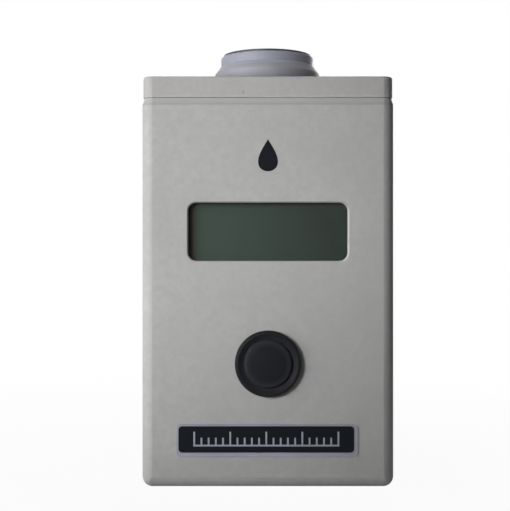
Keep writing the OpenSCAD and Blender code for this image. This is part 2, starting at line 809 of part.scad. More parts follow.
module quartz_crystal() {
    color(steel) facing_back(board_back_y, window_z - 8, controller_x) {
        round_plate(11.4, 4.9, 2.4, 0.5);
        translate([0, 0, 0.4]) round_plate(10.2, 3.8, 1.85, 3.2);
    }
}

module capacitors() {
    color([0.16, 0.20, 0.34]) for (p = [[0, 2], [0, -8], [-3, 14]])
        facing_back(board_back_y, window_z + p[1], capacitor_x + p[0]) {
            cylinder(d = capacitor_d, h = capacitor_h - 0.6);
            cylinder(d = capacitor_d - 0.9, h = capacitor_h);
        }
}

module at_trimmers() {
    for (s = [-1, 1]) facing_back(board_back_y, trimmer_z, controller_x + s * trimmer_pitch / 2) children();
}

module trimmer_bodies() {
    offset = trimmer_w / 2 - 1.8;
    color([0.16, 0.30, 0.62]) at_trimmers() difference() {
        round_plate(trimmer_w, trimmer_w, 0.4, trimmer_h);
        translate([offset, offset, trimmer_h - 1.2]) cylinder(d = 2.4 + 2 * fit, h = 2);
    }
}

module trimmer_screws() {
    offset = trimmer_w / 2 - 1.8;
    color(brass) at_trimmers() translate([offset, offset, trimmer_h - 1.2]) difference() {
        cylinder(d = 2.4, h = 1.6);
        translate([0, 0, 1.5]) cube([3, 0.5, 1], center = true);
    }
}

// Each socket stands on the board's back, with its lower or upper end open for the wires
module board_sockets() {
    w = socket_w / 2;
    back_y = board_back_y + socket_t;
    color([0.88, 0.86, 0.80]) {
        box([lead_x - w, board_back_y, battery_socket_z], [lead_x + w, back_y, battery_socket_z + socket_h]);
        box([-w - 1, board_back_y, switch_socket_z], [w + 1, back_y, switch_socket_z + socket_h]);
        box([sensor_socket_x - w, board_back_y, sensor_socket_z],
            [sensor_socket_x + w, back_y, sensor_socket_z + socket_h]);
    }
}

// Half outline of the bezel and its barrel: radius, and height above the front face
module bezel_profile() {
    flange = button_gasket_t;
    r = bezel_r;
    difference() {
        union() {
            translate([0, -barrel_h]) square([barrel_r, barrel_h + flange]);
            translate([0, flange]) square([r, bezel_h - bezel_round - flange]);
            translate([0, flange]) square([r - bezel_round, bezel_h - flange]);
            translate([r - bezel_round, bezel_h - bezel_round]) circle(bezel_round);
        }
        polygon([[0, pocket_floor], [bore_r, pocket_floor], [bore_r, bezel_h - bezel_dish],
            [r - bezel_round, bezel_h], [r - bezel_round, bezel_h + over], [0, bezel_h + over]]);
        translate([0, spring_seat]) square([spring_bore_r, 20]);
        translate([0, -barrel_h - over]) square([guide_r, 20]);
        translate([0, -barrel_h - over]) square([chamber_r, chamber_top + barrel_h + over]);
    }
}

module button_bezel() {
    color(moulded_black) facing_front(front_y, button_z) rotate_extrude() bezel_profile();
}

module button_gasket() {
    color(rubber_black) facing_front(front_y, button_z) linear_extrude(button_gasket_t) difference() {
        circle(r = bezel_r - 0.3);
        circle(r = barrel_r + fit);
    }
}

module button_washer() {
    color(steel) facing_front(front_in_y + washer_t, button_z) linear_extrude(washer_t) difference() {
        circle(d = nut_flats + 2);
        circle(r = barrel_r + fit);
    }
}

module button_nut() {
    color(steel) facing_front(front_in_y + washer_t + nut_t, button_z) linear_extrude(nut_t) difference() {
        circle(d = nut_flats / cos(30), $fn = 6);
        circle(r = barrel_r + thread_fit);
    }
}

// Half outline of the push cap: a shallow dome, a round shoulder and a stem
module cap_profile() {
    intersection() {
        translate([0, cap_h - dome_r]) circle(dome_r, $fn = 720);
        translate([0, cap_under]) square([cap_r, cap_h - cap_under]);
        union() {
            translate([0, cap_under]) square([shoulder_x, cap_h - cap_under]);
            translate([0, cap_under]) square([cap_r, cap_edge_t]);
            translate([shoulder_x, shoulder_z]) circle(cap_shoulder);
        }
    }
    translate([0, stem_end]) square([stem_d / 2, cap_under - stem_end + fit]);
}

module push_cap() {
    color(rubber_black) facing_front(front_y, button_z) rotate_extrude() cap_profile();
}

module return_spring() {
    r = stem_d / 2 + slide_fit + spring_wire / 2 + 0.1;
    low = spring_seat + spring_wire / 2;
    high = cap_under - spring_wire / 2;
    steps = 14;
    count = spring_turns * steps;
    turn = 360 / steps;
    coil = [for (i = [0:count]) [r * cos(i * turn), r * sin(i * turn), low + (high - low) * i / count]];
    points = tube_points(coil, spring_wire / 2, [0, 0, 1], 6);
    color(steel) facing_front(front_y, button_z)
        polyhedron(points = points, faces = tube_faces(count + 1, 6));
}

module contact_bridge() {
    color(brass) facing_front(front_y, button_z) translate([0, 0, stem_end - bridge_t])
        cylinder(r = bridge_r, h = bridge_t);
}

module switch_base() {
    color([0.35, 0.20, 0.12]) facing_front(front_y + barrel_h + switch_base_t, button_z) difference() {
        cylinder(r = barrel_r - 0.5, h = switch_base_t);
        for (sx = [-1, 1]) translate([sx * lug_x, 0, switch_base_t / 2])
            cube([lug_t + 2 * thread_fit, lug_w + 2 * thread_fit, switch_base_t + 2 * over], center = true);
    }
}

module switch_lugs() {
    color(brass) facing_front(front_y, button_z) for (sx = [-1, 1]) {
        translate([sx * lug_x, 0, -barrel_h]) cylinder(r = rivet_r, h = rivet_h);
        translate([sx * lug_x, 0, -barrel_h - (switch_base_t + lug_l) / 2])
            cube([lug_t, lug_w, switch_base_t + lug_l], center = true);
    }
}

module switch_leads() {
    y = switch_lead_y;
    top = switch_socket_z;
    color([0.85, 0.83, 0.78]) for (sx = [-1, 1])
        tube([[sx * lug_x, y, button_z + lug_w / 2], [sx * lug_x, y, button_z + lug_w / 2 + 4],
            [sx * (lug_x + 0.6), y, (button_z + top) / 2],
            [sx * lug_x, board_back_y + socket_t / 2, top - 2.5],
            [sx * lug_x, board_back_y + socket_t / 2, top]], switch_lead_d);
}

module sensor_head() {
    r = sensor_d / 2;
    color(sensor_white) difference() {
        union() {
            rotate_extrude() head_profile();
            translate([0, 0, shank_z]) cylinder(d = shank_d, h = head_z - shank_z + fit);
        }
        translate([0, 0, shank_z - over])
            cylinder(d = shank_d - 2 * shank_t, h = head_z - shank_z + over + 1);
        translate([0, 0, sensor_top - electrode_t]) {
            cylinder(d = centre_d + 2 * thread_fit, h = electrode_t + over);
            ring_shape(ring_in_d - 2 * thread_fit, ring_out_d + 2 * thread_fit, electrode_t + over);
        }
        at_pins() translate([0, 0, shank_z]) cylinder(d = pin_d + 2 * thread_fit, h = sensor_top - shank_z);
    }
}

// Half outline of the head: a straight side that flares out to the seam
module head_profile() {
    r = sensor_d / 2;
    bevel_r = seam_r - groove_bevel * head_flare / head_flare_h;
    polygon([[0, head_z], [seam_r - groove_depth, head_z], [bevel_r, head_z + groove_bevel],
        [r, head_z + head_flare_h], [r, head_top - head_edge_r], [r - head_edge_r, head_top],
        [0, head_top]]);
    translate([r - head_edge_r, head_top - head_edge_r]) circle(head_edge_r);
}

// Half outline of the collar: the flare goes on below the seam, to a foot that is round
module collar_profile() {
    top = head_z - collar_z;
    bevel_r = seam_r + groove_bevel * (collar_r - seam_r) / (top - collar_foot_h);
    polygon([[0, collar_foot_h], [collar_r, collar_foot_h], [bevel_r, top - groove_bevel],
        [seam_r - groove_depth, top], [0, top]]);
    square([collar_r - collar_round, collar_foot_h]);
    intersection() {
        translate([collar_r - collar_round, collar_foot_h]) circle(collar_round);
        square([collar_r, collar_foot_h]);
    }
}

module ring_shape(in_d, out_d, h) {
    linear_extrude(h) difference() {
        circle(d = out_d);
        circle(d = in_d);
    }
}

// The centre pin and the ring electrode's pin, inside the hollow shank
ring_pin_x = ring_in_d / 2 + pin_d / 2;
sensor_board_z = shank_z + 1.2;

module at_pins() {
    for (x = [0, ring_pin_x]) translate([x, 0, 0]) children();
}

// The collar stands over its gasket, which lies in a recess in its underside
module sensor_collar() {
    color(sensor_white) translate([0, 0, collar_z]) difference() {
        rotate_extrude() collar_profile();
        translate([0, 0, -over]) {
            cylinder(d = shank_d + 4 * fit, h = head_z - collar_z + 2 * over);
            cylinder(r = gasket_r + fit, h = sensor_gasket_t - fit + over);
        }
    }
}

module sensor_gasket() {
    color(rubber_black) translate([0, 0, case_h])
        ring_shape(shank_d + 4 * fit, 2 * gasket_r, sensor_gasket_t);
}

module sensor_ring_nut() {
    color(moulded_black) translate([0, 0, cover_in_z - ring_nut_t]) difference() {
        cylinder(d = ring_nut_d, h = ring_nut_t);
        translate([0, 0, -over]) cylinder(d = shank_d + 2 * thread_fit, h = ring_nut_t + 2 * over);
        for (a = [0:60:300])
            rotate([0, 0, a]) translate([ring_nut_d / 2, 0, 0]) cube([2.4, 2.6, 3], center = true);
    }
}

module centre_electrode() {
    color(steel) {
        translate([0, 0, sensor_top - electrode_t]) cylinder(d = centre_d, h = electrode_t);
        translate([0, 0, sensor_board_z - 0.6])
            cylinder(d = pin_d, h = sensor_top - electrode_t / 2 - sensor_board_z + 0.6);
    }
}

module ring_electrode() {
    color(steel) {
        translate([0, 0, sensor_top - electrode_t]) ring_shape(ring_in_d, ring_out_d, electrode_t);
        translate([ring_pin_x, 0, sensor_board_z - 0.6])
            cylinder(d = pin_d, h = sensor_top - electrode_t / 2 - sensor_board_z + 0.6);
    }
}

module sensor_board() {
    color([0.10, 0.32, 0.18]) translate([0, 0, sensor_board_z]) difference() {
        cylinder(d = shank_d - 2 * shank_t - 2 * fit, h = board_t);
        at_pins() translate([0, 0, -over]) cylinder(d = pin_d + 2 * thread_fit, h = board_t + 2 * over);
    }
}

module sensor_lead() {
    x = sensor_socket_x;
    y = board_back_y + socket_t / 2;
    low = sensor_socket_z + socket_h;
    color([0.15, 0.15, 0.16]) tube([[3, 0, sensor_board_z], [3, 0, sensor_board_z - 3],
        [(x + 3) / 2, y / 2, (sensor_board_z + low) / 2], [x, y, low + 4], [x, y, low]], sensor_lead_d);
}

module battery() {
    color([0.20, 0.20, 0.22]) translate([0, (battery_front_y + battery_back_y) / 2, battery_z])
        round_plate(battery_w, battery_t, 2, battery_l);
}

module battery_studs() {
    y = (battery_front_y + battery_back_y) / 2;
    color(steel) translate([0, y, studs_z]) {
        translate([-stud_x, 0, 0]) cylinder(d = plus_d, h = stud_h);
        translate([stud_x, 0, 0]) difference() {
            cylinder(d = minus_d, h = stud_h, $fn = 6);
            translate([0, 0, 0.5]) cylinder(d = plus_d, h = stud_h);
        }
    }
}

module battery_pad() {
    color([0.22, 0.22, 0.23]) box([-battery_w / 2 + 3, well_floor_y, battery_z + 6],
        [battery_w / 2 - 3, battery_front_y, studs_z - 6]);
}

contact_h = stud_h + 0.4;

module battery_clip() {
    y = (battery_front_y + battery_back_y) / 2;
    color(rubber_black) translate([0, y, studs_z]) difference() {
        round_plate(battery_w - 0.8, 12.6, 5, clip_t);
        translate([-stud_x, 0, -over]) cylinder(d = minus_d + 2 * fit, h = contact_h + over, $fn = 6);
        translate([stud_x, 0, -over]) cylinder(d = minus_d + 2 * fit, h = contact_h + over, $fn = 6);
    }
}

// The connector's own socket grips the round stud, and its plug fills the hexagonal one
module clip_contacts() {
    y = (battery_front_y + battery_back_y) / 2;
    color(steel) translate([0, y, studs_z]) {
        translate([-stud_x, 0, 0]) difference() {
            cylinder(d = minus_d, h = contact_h, $fn = 6);
            translate([0, 0, -over]) cylinder(d = plus_d + 2 * fit, h = stud_h + over + fit);
        }
        translate([stud_x, 0, contact_h - 0.3]) cylinder(d = minus_d, h = 0.3, $fn = 6);
        translate([stud_x, 0, 0.5 + fit]) cylinder(d = plus_d - 2 * fit, h = contact_h - 0.5 - fit);
    }
}

// A lead from the snap connector's top, through the slot, to its socket on the board
module battery_lead(x) {
    y = (battery_front_y + battery_back_y) / 2;
    slot_y = well_floor_y + 7;
    end_y = board_back_y + socket_t / 2;
    tube([[x, y, clip_top_z], [x, y, clip_top_z + 1.5], [x, slot_y, well_high_z + well_t / 2],
        [x, slot_y - 2.4, well_high_z + well_t + 2.8], [x, end_y + 3, battery_socket_z - 4],
        [x, end_y, battery_socket_z - 1.5], [x, end_y, battery_socket_z]], lead_d);
}

module battery_lead_red() {
    color([0.70, 0.08, 0.06]) battery_lead(lead_x - lead_pitch / 2);
}

module battery_lead_black() {
    color([0.06, 0.06, 0.06]) battery_lead(lead_x + lead_pitch / 2);
}

front_shell();
rear_shell();
top_cover();
battery_door();
case_screws();
name_plate();
name_plate_panel();
display_pane();
lcd_cell();
lcd_frame();
contact_strips();
main_board();
board_screws();
controller_chip();
amplifier_chips();
quartz_crystal();
capacitors();
trimmer_bodies();
trimmer_screws();
board_sockets();
button_bezel();
button_gasket();
button_washer();
button_nut();
push_cap();
return_spring();
contact_bridge();
switch_base();
switch_lugs();
switch_leads();
sensor_head();
sensor_collar();
sensor_gasket();
sensor_ring_nut();
centre_electrode();
ring_electrode();
sensor_board();
sensor_lead();
battery();
battery_studs();
battery_pad();
battery_clip();
clip_contacts();
battery_lead_red();
battery_lead_black();
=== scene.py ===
import math

import bmesh
import bpy
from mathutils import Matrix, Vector


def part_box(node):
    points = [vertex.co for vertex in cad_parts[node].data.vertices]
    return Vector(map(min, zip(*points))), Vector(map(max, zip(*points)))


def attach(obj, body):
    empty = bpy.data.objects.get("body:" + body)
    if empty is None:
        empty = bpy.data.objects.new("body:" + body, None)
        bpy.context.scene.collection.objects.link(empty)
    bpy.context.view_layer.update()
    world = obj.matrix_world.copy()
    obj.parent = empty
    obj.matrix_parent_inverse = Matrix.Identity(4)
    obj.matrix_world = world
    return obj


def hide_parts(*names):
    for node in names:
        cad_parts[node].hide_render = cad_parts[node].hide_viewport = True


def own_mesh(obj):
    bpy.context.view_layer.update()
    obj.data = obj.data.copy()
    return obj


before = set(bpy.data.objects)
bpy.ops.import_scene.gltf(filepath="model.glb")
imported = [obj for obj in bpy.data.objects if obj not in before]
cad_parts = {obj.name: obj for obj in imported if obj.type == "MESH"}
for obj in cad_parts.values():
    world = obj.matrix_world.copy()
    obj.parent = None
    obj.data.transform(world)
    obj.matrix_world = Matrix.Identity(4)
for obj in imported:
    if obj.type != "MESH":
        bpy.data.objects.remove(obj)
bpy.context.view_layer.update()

mm = 0.001


def middle(node, axis):
    """The middle of a node's box along X, Y or Z, given as 0, 1 or 2."""
    low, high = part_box(node)
    return (low[axis] + high[axis]) / 2


# Places in metres, in the part's own frame: X right, Y backwards, Z up, the front faces -Y.
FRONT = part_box("front_shell")[0][1]
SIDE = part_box("front_shell")[1][0]
BOARD_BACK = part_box("main_board")[1][1]
PANEL_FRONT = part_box("name_plate_panel")[0][1]
PANEL_X = middle("name_plate_panel", 0)
PLATE_Z = middle("name_plate", 2)
BUTTON_Z = middle("push_cap", 2)
WINDOW_Z = middle("display_pane", 2)
# Middle of the printed drop
DROP_Z = 106.4 * mm
# Foot of the sloped rim at the top of the shells
RIM_Z = 122.8 * mm
# How far in from the sides, and up from the bottom, the case's long edges begin to turn
EDGE_BEND = 3.4 * mm
# Half the height of the display's opening, and the radius of its corners
OPENING_HALF = 9.35 * mm
CORNER = 2.6 * mm


# Finishes

def paint(red, green, blue):
    """A colour as a paint chart gives it, 0 to 255, made linear."""
    def linear(value):
        value = value / 255
        return value / 12.92 if value <= 0.04045 else ((value + 0.055) / 1.055) ** 2.4
    return (linear(red), linear(green), linear(blue), 1.0)


class Wire:
    """An output of a finish's node. Arithmetic on it adds the nodes that work the result out."""

    def __init__(self, finish, socket):
        self.finish, self.socket = finish, socket

    def maths(self, operation, *values):
        """One Math node on these values."""
        return self.finish.node("Math", dict(enumerate(values)), operation=operation)

    def __add__(self, other): return self.maths("ADD", self, other)
    def __radd__(self, other): return self.maths("ADD", other, self)
    def __sub__(self, other): return self.maths("SUBTRACT", self, other)
    def __rsub__(self, other): return self.maths("SUBTRACT", other, self)
    def __mul__(self, other): return self.maths("MULTIPLY", self, other)
    def __rmul__(self, other): return self.maths("MULTIPLY", other, self)
    def __truediv__(self, other): return self.maths("DIVIDE", self, other)
    def __rtruediv__(self, other): return self.maths("DIVIDE", other, self)
    def __pow__(self, other): return self.maths("POWER", self, other)
    def __rpow__(self, other): return self.maths("POWER", other, self)
    def __gt__(self, other): return self.maths("GREATER_THAN", self, other)
    def __lt__(self, other): return self.maths("LESS_THAN", self, other)
    def __abs__(self): return self.maths("ABSOLUTE", self)

    def least(self, other): return self.maths("MINIMUM", self, other)
    def most(self, other): return self.maths("MAXIMUM", self, other)
    def root(self): return self.maths("SQRT", self)
    def whole(self): return self.maths("FLOOR", self)
    def part(self): return self.maths("FRACT", self)
    def wave(self): return self.maths("SINE", self)

    def between(self, low, high):
        """0 below low, 1 above high and a straight slope from one to the other."""
        return self.finish.node("MapRange", {"Value": self, "From Min": low, "From Max": high})


class Finish:
    """A material that is worked out from the place on the piece, in metres."""

    def __init__(self, name):
        self.material = bpy.data.materials.new(name)
        self.material.use_nodes = True
        self.tree = self.material.node_tree
        self.tree.nodes.clear()
        self.place = self.node("TexCoord", out="Object")
        self.x, self.y, self.z = (self.node("SeparateXYZ", {0: self.place}, out=i) for i in range(3))

    def node(self, kind, sockets=None, out=0, **settings):
        """Any node: its settings first, then the values or links of its sockets."""
        made = self.tree.nodes.new("ShaderNode" + kind)
        for key, value in settings.items():
            setattr(made, key, value)
        for key, value in (sockets or {}).items():
            if isinstance(value, Wire):
                self.tree.links.new(value.socket, made.inputs[key])
            else:
                made.inputs[key].default_value = value
        return Wire(self, made.outputs[out]) if made.outputs else None

    def blend(self, first, second, share):
        """The first colour, turning into the second as share goes from 0 to 1."""
        return self.node("Mix", {0: share, 6: first, 7: second}, out=2, data_type="RGBA")

    def grain(self, size, detail=2.0, rough=0.5, stretch=(1, 1, 1), seed=0.0):
        """Soft random spots of about that size in metres, longer where stretch is under 1."""
        place = self.node("Mapping", {"Vector": self.place, "Scale": stretch,
                                      "Location": (seed, seed, seed)})
        return self.node("TexNoise", {"Vector": place, "Scale": 1 / size, "Detail": detail,
                                      "Roughness": rough})

    def cells(self, size, seed=0.0):
        """Distance from the middle of cells of about that size in metres."""
        place = self.node("Mapping", {"Vector": self.place, "Location": (seed, seed, seed)})
        return self.node("TexVoronoi", {"Vector": place, "Scale": 1 / size}, out="Distance")

    def relief(self, height, depth, strength):
        """A normal from a height of 0 to 1 that stands depth metres proud."""
        return self.node("Bump", {"Height": height, "Distance": depth, "Strength": strength})

    def radius(self, x=0.0, z=None):
        """Distance from an upright axis, or from one along Y when z is given."""
        across = self.x - x
        other = self.y if z is None else self.z - z
        return (across * across + other * other).root()

    def surface(self, colour, rough, metal=0.0, gloss=0.5, normal=None):
        """The finished shader. Gloss is the specular level."""
        sockets = {"Base Color": colour, "Roughness": rough, "Metallic": metal,
                   "Specular IOR Level": gloss}
        if normal is not None:
            sockets["Normal"] = normal
        return self.cover(self.node("BsdfPrincipled", sockets))

    def cover(self, shader):
        """The material, with this shader as its surface."""
        self.node("OutputMaterial", {"Surface": shader})
        return self.material


def moulded_grey(name, colour, seed, dents=(), crease=None, lip=None, painted_highlight_foot=None):
    """Light grey moulded plastic with a fine spark-eroded grain, a little soiled by handling.

    Dents are sink marks of 1.3 mm radius, as (x, z, depth); crease is the height of a fine groove
    round the case, with painted shade along it and the rim above it a little darker; lip is the
    right edge of the display's opening, rounded by bump and painted lighter as a painted highlight;
    the last argument is the height of a lower edge that is painted pale as a painted highlight."""
    f = Finish(name)
    fine = f.grain(0.42 * mm, 2.0, 0.6, seed=seed)
    coarse = f.grain(1.1 * mm, 2.0, 0.5, seed=seed + 3)
    cloud = f.grain(26 * mm, 3.0, 0.55, seed=seed + 7)
    red, green, blue = colour
    clean = paint(red + 6, green + 6, blue + 6)
    soiled = paint(red - 3, green - 3, blue - 4)
    base = f.blend(clean, soiled, cloud.between(0.3, 0.75))
    mottle = f.grain(2.0 * mm, 2.0, 0.5, seed=seed + 15)
    base = f.blend(base, paint(red - 7, green - 7, blue - 7), mottle.between(0.35, 0.65) * 0.55)
    base = f.blend(base, paint(red - 26, green - 26, blue - 26), fine.between(0.56, 0.74) * 0.30)
    scuffs = f.grain(3 * mm, 4.0, 0.7, stretch=(0.25, 1, 1.6), seed=seed + 11).between(0.62, 0.75)
    height = fine * 0.6 + coarse * 0.4
    rounding = (abs(f.x) - (SIDE - EDGE_BEND)).most(EDGE_BEND - f.z).most(0.0) / mm
    height = height - rounding * 6.2
    for x, z, depth in dents:
        hollow = 1 - f.radius(x, z).between(0.0, 1.3 * mm)
        height = height - hollow * hollow * depth
    if crease:
        # Painted shade: the line along the crease is painted dark as the shade in its groove, and the rim
        # above it is a little darker.
        line = 1 - abs(f.z - crease).between(0.15 * mm, 0.55 * mm)
        band = (f.z - crease).between(0.2 * mm, 0.5 * mm)
        base = f.blend(base, paint(red - 7, green - 7, blue - 8), band)
        base = f.blend(base, paint(red - 40, green - 40, blue - 42), line * 0.45)
        height = height - line * 2.0
    if painted_highlight_foot:
        # Painted highlight: the lower edge below this height is painted pale.
        base = f.blend(base, paint(red + 34, green + 34, blue + 33), (painted_highlight_foot - f.z).between(0.0, 0.1 * mm))
    if lip:
        # The opening's right edge is rounded by bump and painted lighter: a painted highlight.
        across = (f.x - lip + CORNER).most(0.0)
        up = (abs(f.z - WINDOW_Z) - OPENING_HALF + CORNER).most(0.0)
        away = (across * across + up * up).root()
        lip_round_and_highlight = (1 - (away - CORNER).between(0.1 * mm, 0.5 * mm)) * (away > CORNER - 0.3 * mm)
        lip_round_and_highlight = lip_round_and_highlight * (across / away) * (f.y < FRONT + 1.2 * mm)
        base = f.blend(base, paint(red + 20, green + 20, blue + 19), lip_round_and_highlight)
        height = height - lip_round_and_highlight * 9.0
    return f.surface(base, 0.60 + cloud * 0.14 - scuffs * 0.10, gloss=0.12,
                     normal=f.relief(height, 0.05 * mm, 0.55))


def turned_plastic(name, colour, seed):
    """Pale engineering plastic off the lathe: turning rings on its flat faces, clean and satin."""
    f = Finish(name)
    rings = (f.radius() * (2 * math.pi / (0.32 * mm))).wave() * 0.5 + 0.5
    steps = (f.z * (2 * math.pi / (0.28 * mm))).wave() * 0.5 + 0.5
    cloud = f.grain(9 * mm, 3.0, seed=seed)
    fine = f.grain(0.5 * mm, 2.0, seed=seed + 5)
    red, green, blue = colour
    base = f.blend(paint(red + 3, green + 3, blue + 3), paint(red - 7, green - 7, blue - 8),
                   cloud.between(0.3, 0.7))
    base = f.blend(base, paint(red - 30, green - 30, blue - 34), fine.between(0.62, 0.78) * 0.25)
    height = rings * 0.45 + steps * 0.2 + fine * 0.35
    return f.surface(base, 0.42 + cloud * 0.16, gloss=0.3, normal=f.relief(height, 0.02 * mm, 0.5))


def black_moulding(name, thread=None):
    """Black moulded plastic with a faint grain and grey dust. Thread gives the pitch of a button's
    barrel, and such a part is also painted lighter on its funnel and in the gap round its cap, as painted
    light where they lie in shade."""
    f = Finish(name)
    fine = f.grain(0.30 * mm, 2.0)
    cloud = f.grain(6 * mm, 3.0, seed=4)
    dust = f.grain(0.7 * mm, 3.0, 0.7, seed=9).between(0.6, 0.8)
    base = f.blend(paint(20, 22, 25), paint(26, 27, 30), cloud)
    base = f.blend(base, paint(92, 92, 90), dust * 0.12)
    height = fine * 0.3
    if thread:
        from_cap = f.radius(0, BUTTON_Z)
        barrel = (f.y > -16.6 * mm) * (from_cap > 8.8 * mm)
        # Painted light: the funnel, and more strongly the gap round the cap, are painted lighter where
        # they lie in shade.
        base = f.blend(base, paint(50, 51, 54), (1 - from_cap.between(7.6 * mm, 9.9 * mm)) * 0.8)
        base = f.blend(base, paint(58, 58, 60), 1 - from_cap.between(8.0 * mm, 8.4 * mm))
        height = height + barrel * (f.y * (2 * math.pi / thread)).wave() * 4
    return f.surface(base, 0.40 + cloud * 0.18, gloss=0.10, normal=f.relief(height, 0.05 * mm, 0.6))


def soft_rubber(name, shade, speck=0.12, cap=None):
    """Matt black rubber, a little dusty. Cap is the radius of a button's cap, whose shoulder is painted
    lighter as a painted highlight and whose side is painted lighter against the shade of the gap.
    """
    f = Finish(name)
    fine = f.grain(0.22 * mm, 3.0, 0.7)
    cloud = f.grain(7 * mm, 3.0, seed=2)
    dust = f.grain(0.55 * mm, 3.0, 0.75, seed=6).between(0.58, 0.8)
    base = f.blend(paint(shade - 3, shade - 2, shade + 2), paint(shade + 5, shade + 6, shade + 11), cloud)
    base = f.blend(base, paint(105, 105, 104), dust * speck)
    if cap:
        out = f.radius(0, BUTTON_Z) - cap
        # Painted highlight on the cap's shoulder, and painted light on its side in the gap, where shade
        # falls.
        base = f.blend(base, paint(41, 43, 49), out.between(-1.6 * mm, 0.0))
        base = f.blend(base, paint(74, 74, 76), out.between(0.68 * mm, 0.74 * mm))
    return f.surface(base, 0.44 + cloud * 0.18, gloss=0.07, normal=f.relief(fine, 0.03 * mm, 0.6))


def brushed_foil(name):
    """Silver-grey anodised foil, brushed along its length."""
    f = Finish(name)
    strokes = f.grain(0.9 * mm, 4.0, 0.7, stretch=(0.06, 1, 5))
    cloud = f.grain(12 * mm, 2.0, seed=3)
    base = f.blend(paint(140, 142, 156), paint(158, 160, 173), strokes.between(0.35, 0.65))
    base = f.blend(base, paint(130, 132, 143), cloud.between(0.5, 0.8) * 0.5)
    # Painted shade: the right part of the plate is painted greyer and darker.
    base = f.blend(base, paint(136, 138, 142), f.x.between(5 * mm, 29 * mm) * 0.7)
    return f.surface(base, 0.40 + strokes * 0.2, metal=0.25, gloss=0.3,
                     normal=f.relief(strokes, 0.01 * mm, 0.5))


def printed_black(name):
    """Satin black ink, with the orange peel of a screen print."""
    f = Finish(name)
    peel = f.grain(0.6 * mm, 2.0)
    cloud = f.grain(9 * mm, 3.0, seed=5)
    rub = f.grain(1.6 * mm, 4.0, 0.75, stretch=(0.3, 1, 1), seed=8).between(0.62, 0.8)
    base = f.blend(paint(12, 17, 22), paint(17, 22, 27), cloud)
    base = f.blend(base, paint(60, 64, 68), rub * 0.1)
    return f.surface(base, 0.36 + cloud * 0.16 + rub * 0.1, gloss=0.08,
                     normal=f.relief(peel, 0.012 * mm, 0.5))


def smoked_pane(name):
    """The display's pane: see-through, lightly smoked and matt against glare, with fine hairlines.
    Its smoke is painted darker towards the right as painted shade, with a painted shadow along its
    left and top edges.
    """
    f = Finish(name)
    hairs = f.grain(2.4 * mm, 3.0, 0.7, stretch=(0.1, 1, 3)).between(0.66, 0.76)
    haze = f.grain(8 * mm, 2.0, seed=2)
    clear = f.node("BsdfTransparent", {"Color": (0.90, 0.94, 0.92, 1.0)})
    # Painted shade: the smoke darkens from left to right.
    across = f.x.between(-24 * mm, 25 * mm)
    smoke = f.blend(paint(86, 99, 92), paint(60, 66, 62), across)
    smoke = f.blend(smoke, paint(74, 92, 80), haze.between(0.4, 0.7) * 0.4)
    blotch = f.grain(2.2 * mm, 2.0, seed=5)
    smoke = f.blend(smoke, paint(56, 73, 63), blotch.between(0.35, 0.65) * 0.30)
    # Painted shadow of the opening's wall along the left and top edges of the pane.
    edge = (f.x + 24.1 * mm).between(0.0, 2.6 * mm).least(
        0.25 + (WINDOW_Z + 9.2 * mm - f.z).between(0.0, 2.6 * mm) * 0.75)
    smoke = f.blend(paint(70, 70, 64), smoke, edge)
    matt = f.node("BsdfPrincipled", {"Base Color": smoke, "Roughness": 0.30 + haze * 0.1 + hairs * 0.2,
                                     "Specular IOR Level": 0.12})
    return f.cover(f.node("MixShader", {0: 0.60 + hairs * 0.05, 1: clear, 2: matt}))


def display_glass(name):
    """A blank liquid crystal cell: grey-green, painted darker towards the right as painted shade, and
    dark round its seal.
    """
    f = Finish(name)
    fine = f.grain(0.25 * mm, 2.0)
    cloud = f.grain(14 * mm, 3.0, seed=1)
    # Painted shade: darker from left to right.
    across = f.x.between(-22 * mm, 24 * mm)
    base = f.blend(paint(78, 91, 83), paint(60, 66, 62), across)
    base = f.blend(base, paint(68, 86, 74), cloud.between(0.4, 0.7) * 0.35)
    seal = (abs(f.x) - 26.2 * mm).between(0, 0.6 * mm).most(
        (abs(f.z - WINDOW_Z) - 10.2 * mm).between(0, 0.6 * mm))
    base = f.blend(base, paint(30, 32, 31), seal)
    back = f.y.between(-13.9 * mm, -13.7 * mm)
    base = f.blend(base, paint(120, 126, 118), back * 0.5)
    return f.surface(base, 0.42 + cloud * 0.1, gloss=0.12, normal=f.relief(fine, 0.002 * mm, 0.3))


def circuit_board(name, y_faces=True):
    """Green solder mask over copper tracks, with tinned through-holes."""
    f = Finish(name)
    across, up = (f.x, f.z) if y_faces else (f.x, f.y)
    pitch = 1.27 * mm
    column, row = (across / pitch).whole(), (up / pitch).whole()

    def chance(first, second, seed):
        spot = f.node("CombineXYZ", {0: first, 1: second, 2: seed})
        return f.node("TexWhiteNoise", {"Vector": spot}, noise_dimensions="3D")

    def stripe(place):
        return abs((place / pitch).part() - 0.5) < 0.15

    upright = stripe(across) * (chance(column, (up / (9 * mm)).whole(), 1.0) > 0.52)
    level = stripe(up) * (chance((across / (11 * mm)).whole(), row, 2.0) > 0.6)
    tracks = upright.most(level)
    from_hole = (((across / pitch).part() - 0.5) ** 2 + ((up / pitch).part() - 0.5) ** 2).root()
    chosen = chance(column, row, 3.0) > 0.93
    pad, hole = chosen * (from_hole < 0.40), chosen * (from_hole < 0.17)
    cloud = f.grain(16 * mm, 3.0)
    base = f.blend(paint(20, 74, 42), paint(26, 88, 50), cloud)
    base = f.blend(base, paint(42, 112, 62), tracks)
    base = f.blend(base, paint(188, 188, 180), pad)
    base = f.blend(base, paint(18, 20, 18), hole)
    height = tracks.most(pad) - hole
    return f.surface(base, 0.30 + cloud * 0.15, metal=pad * 0.8, gloss=0.4,
                     normal=f.relief(height, 0.05 * mm, 0.6))


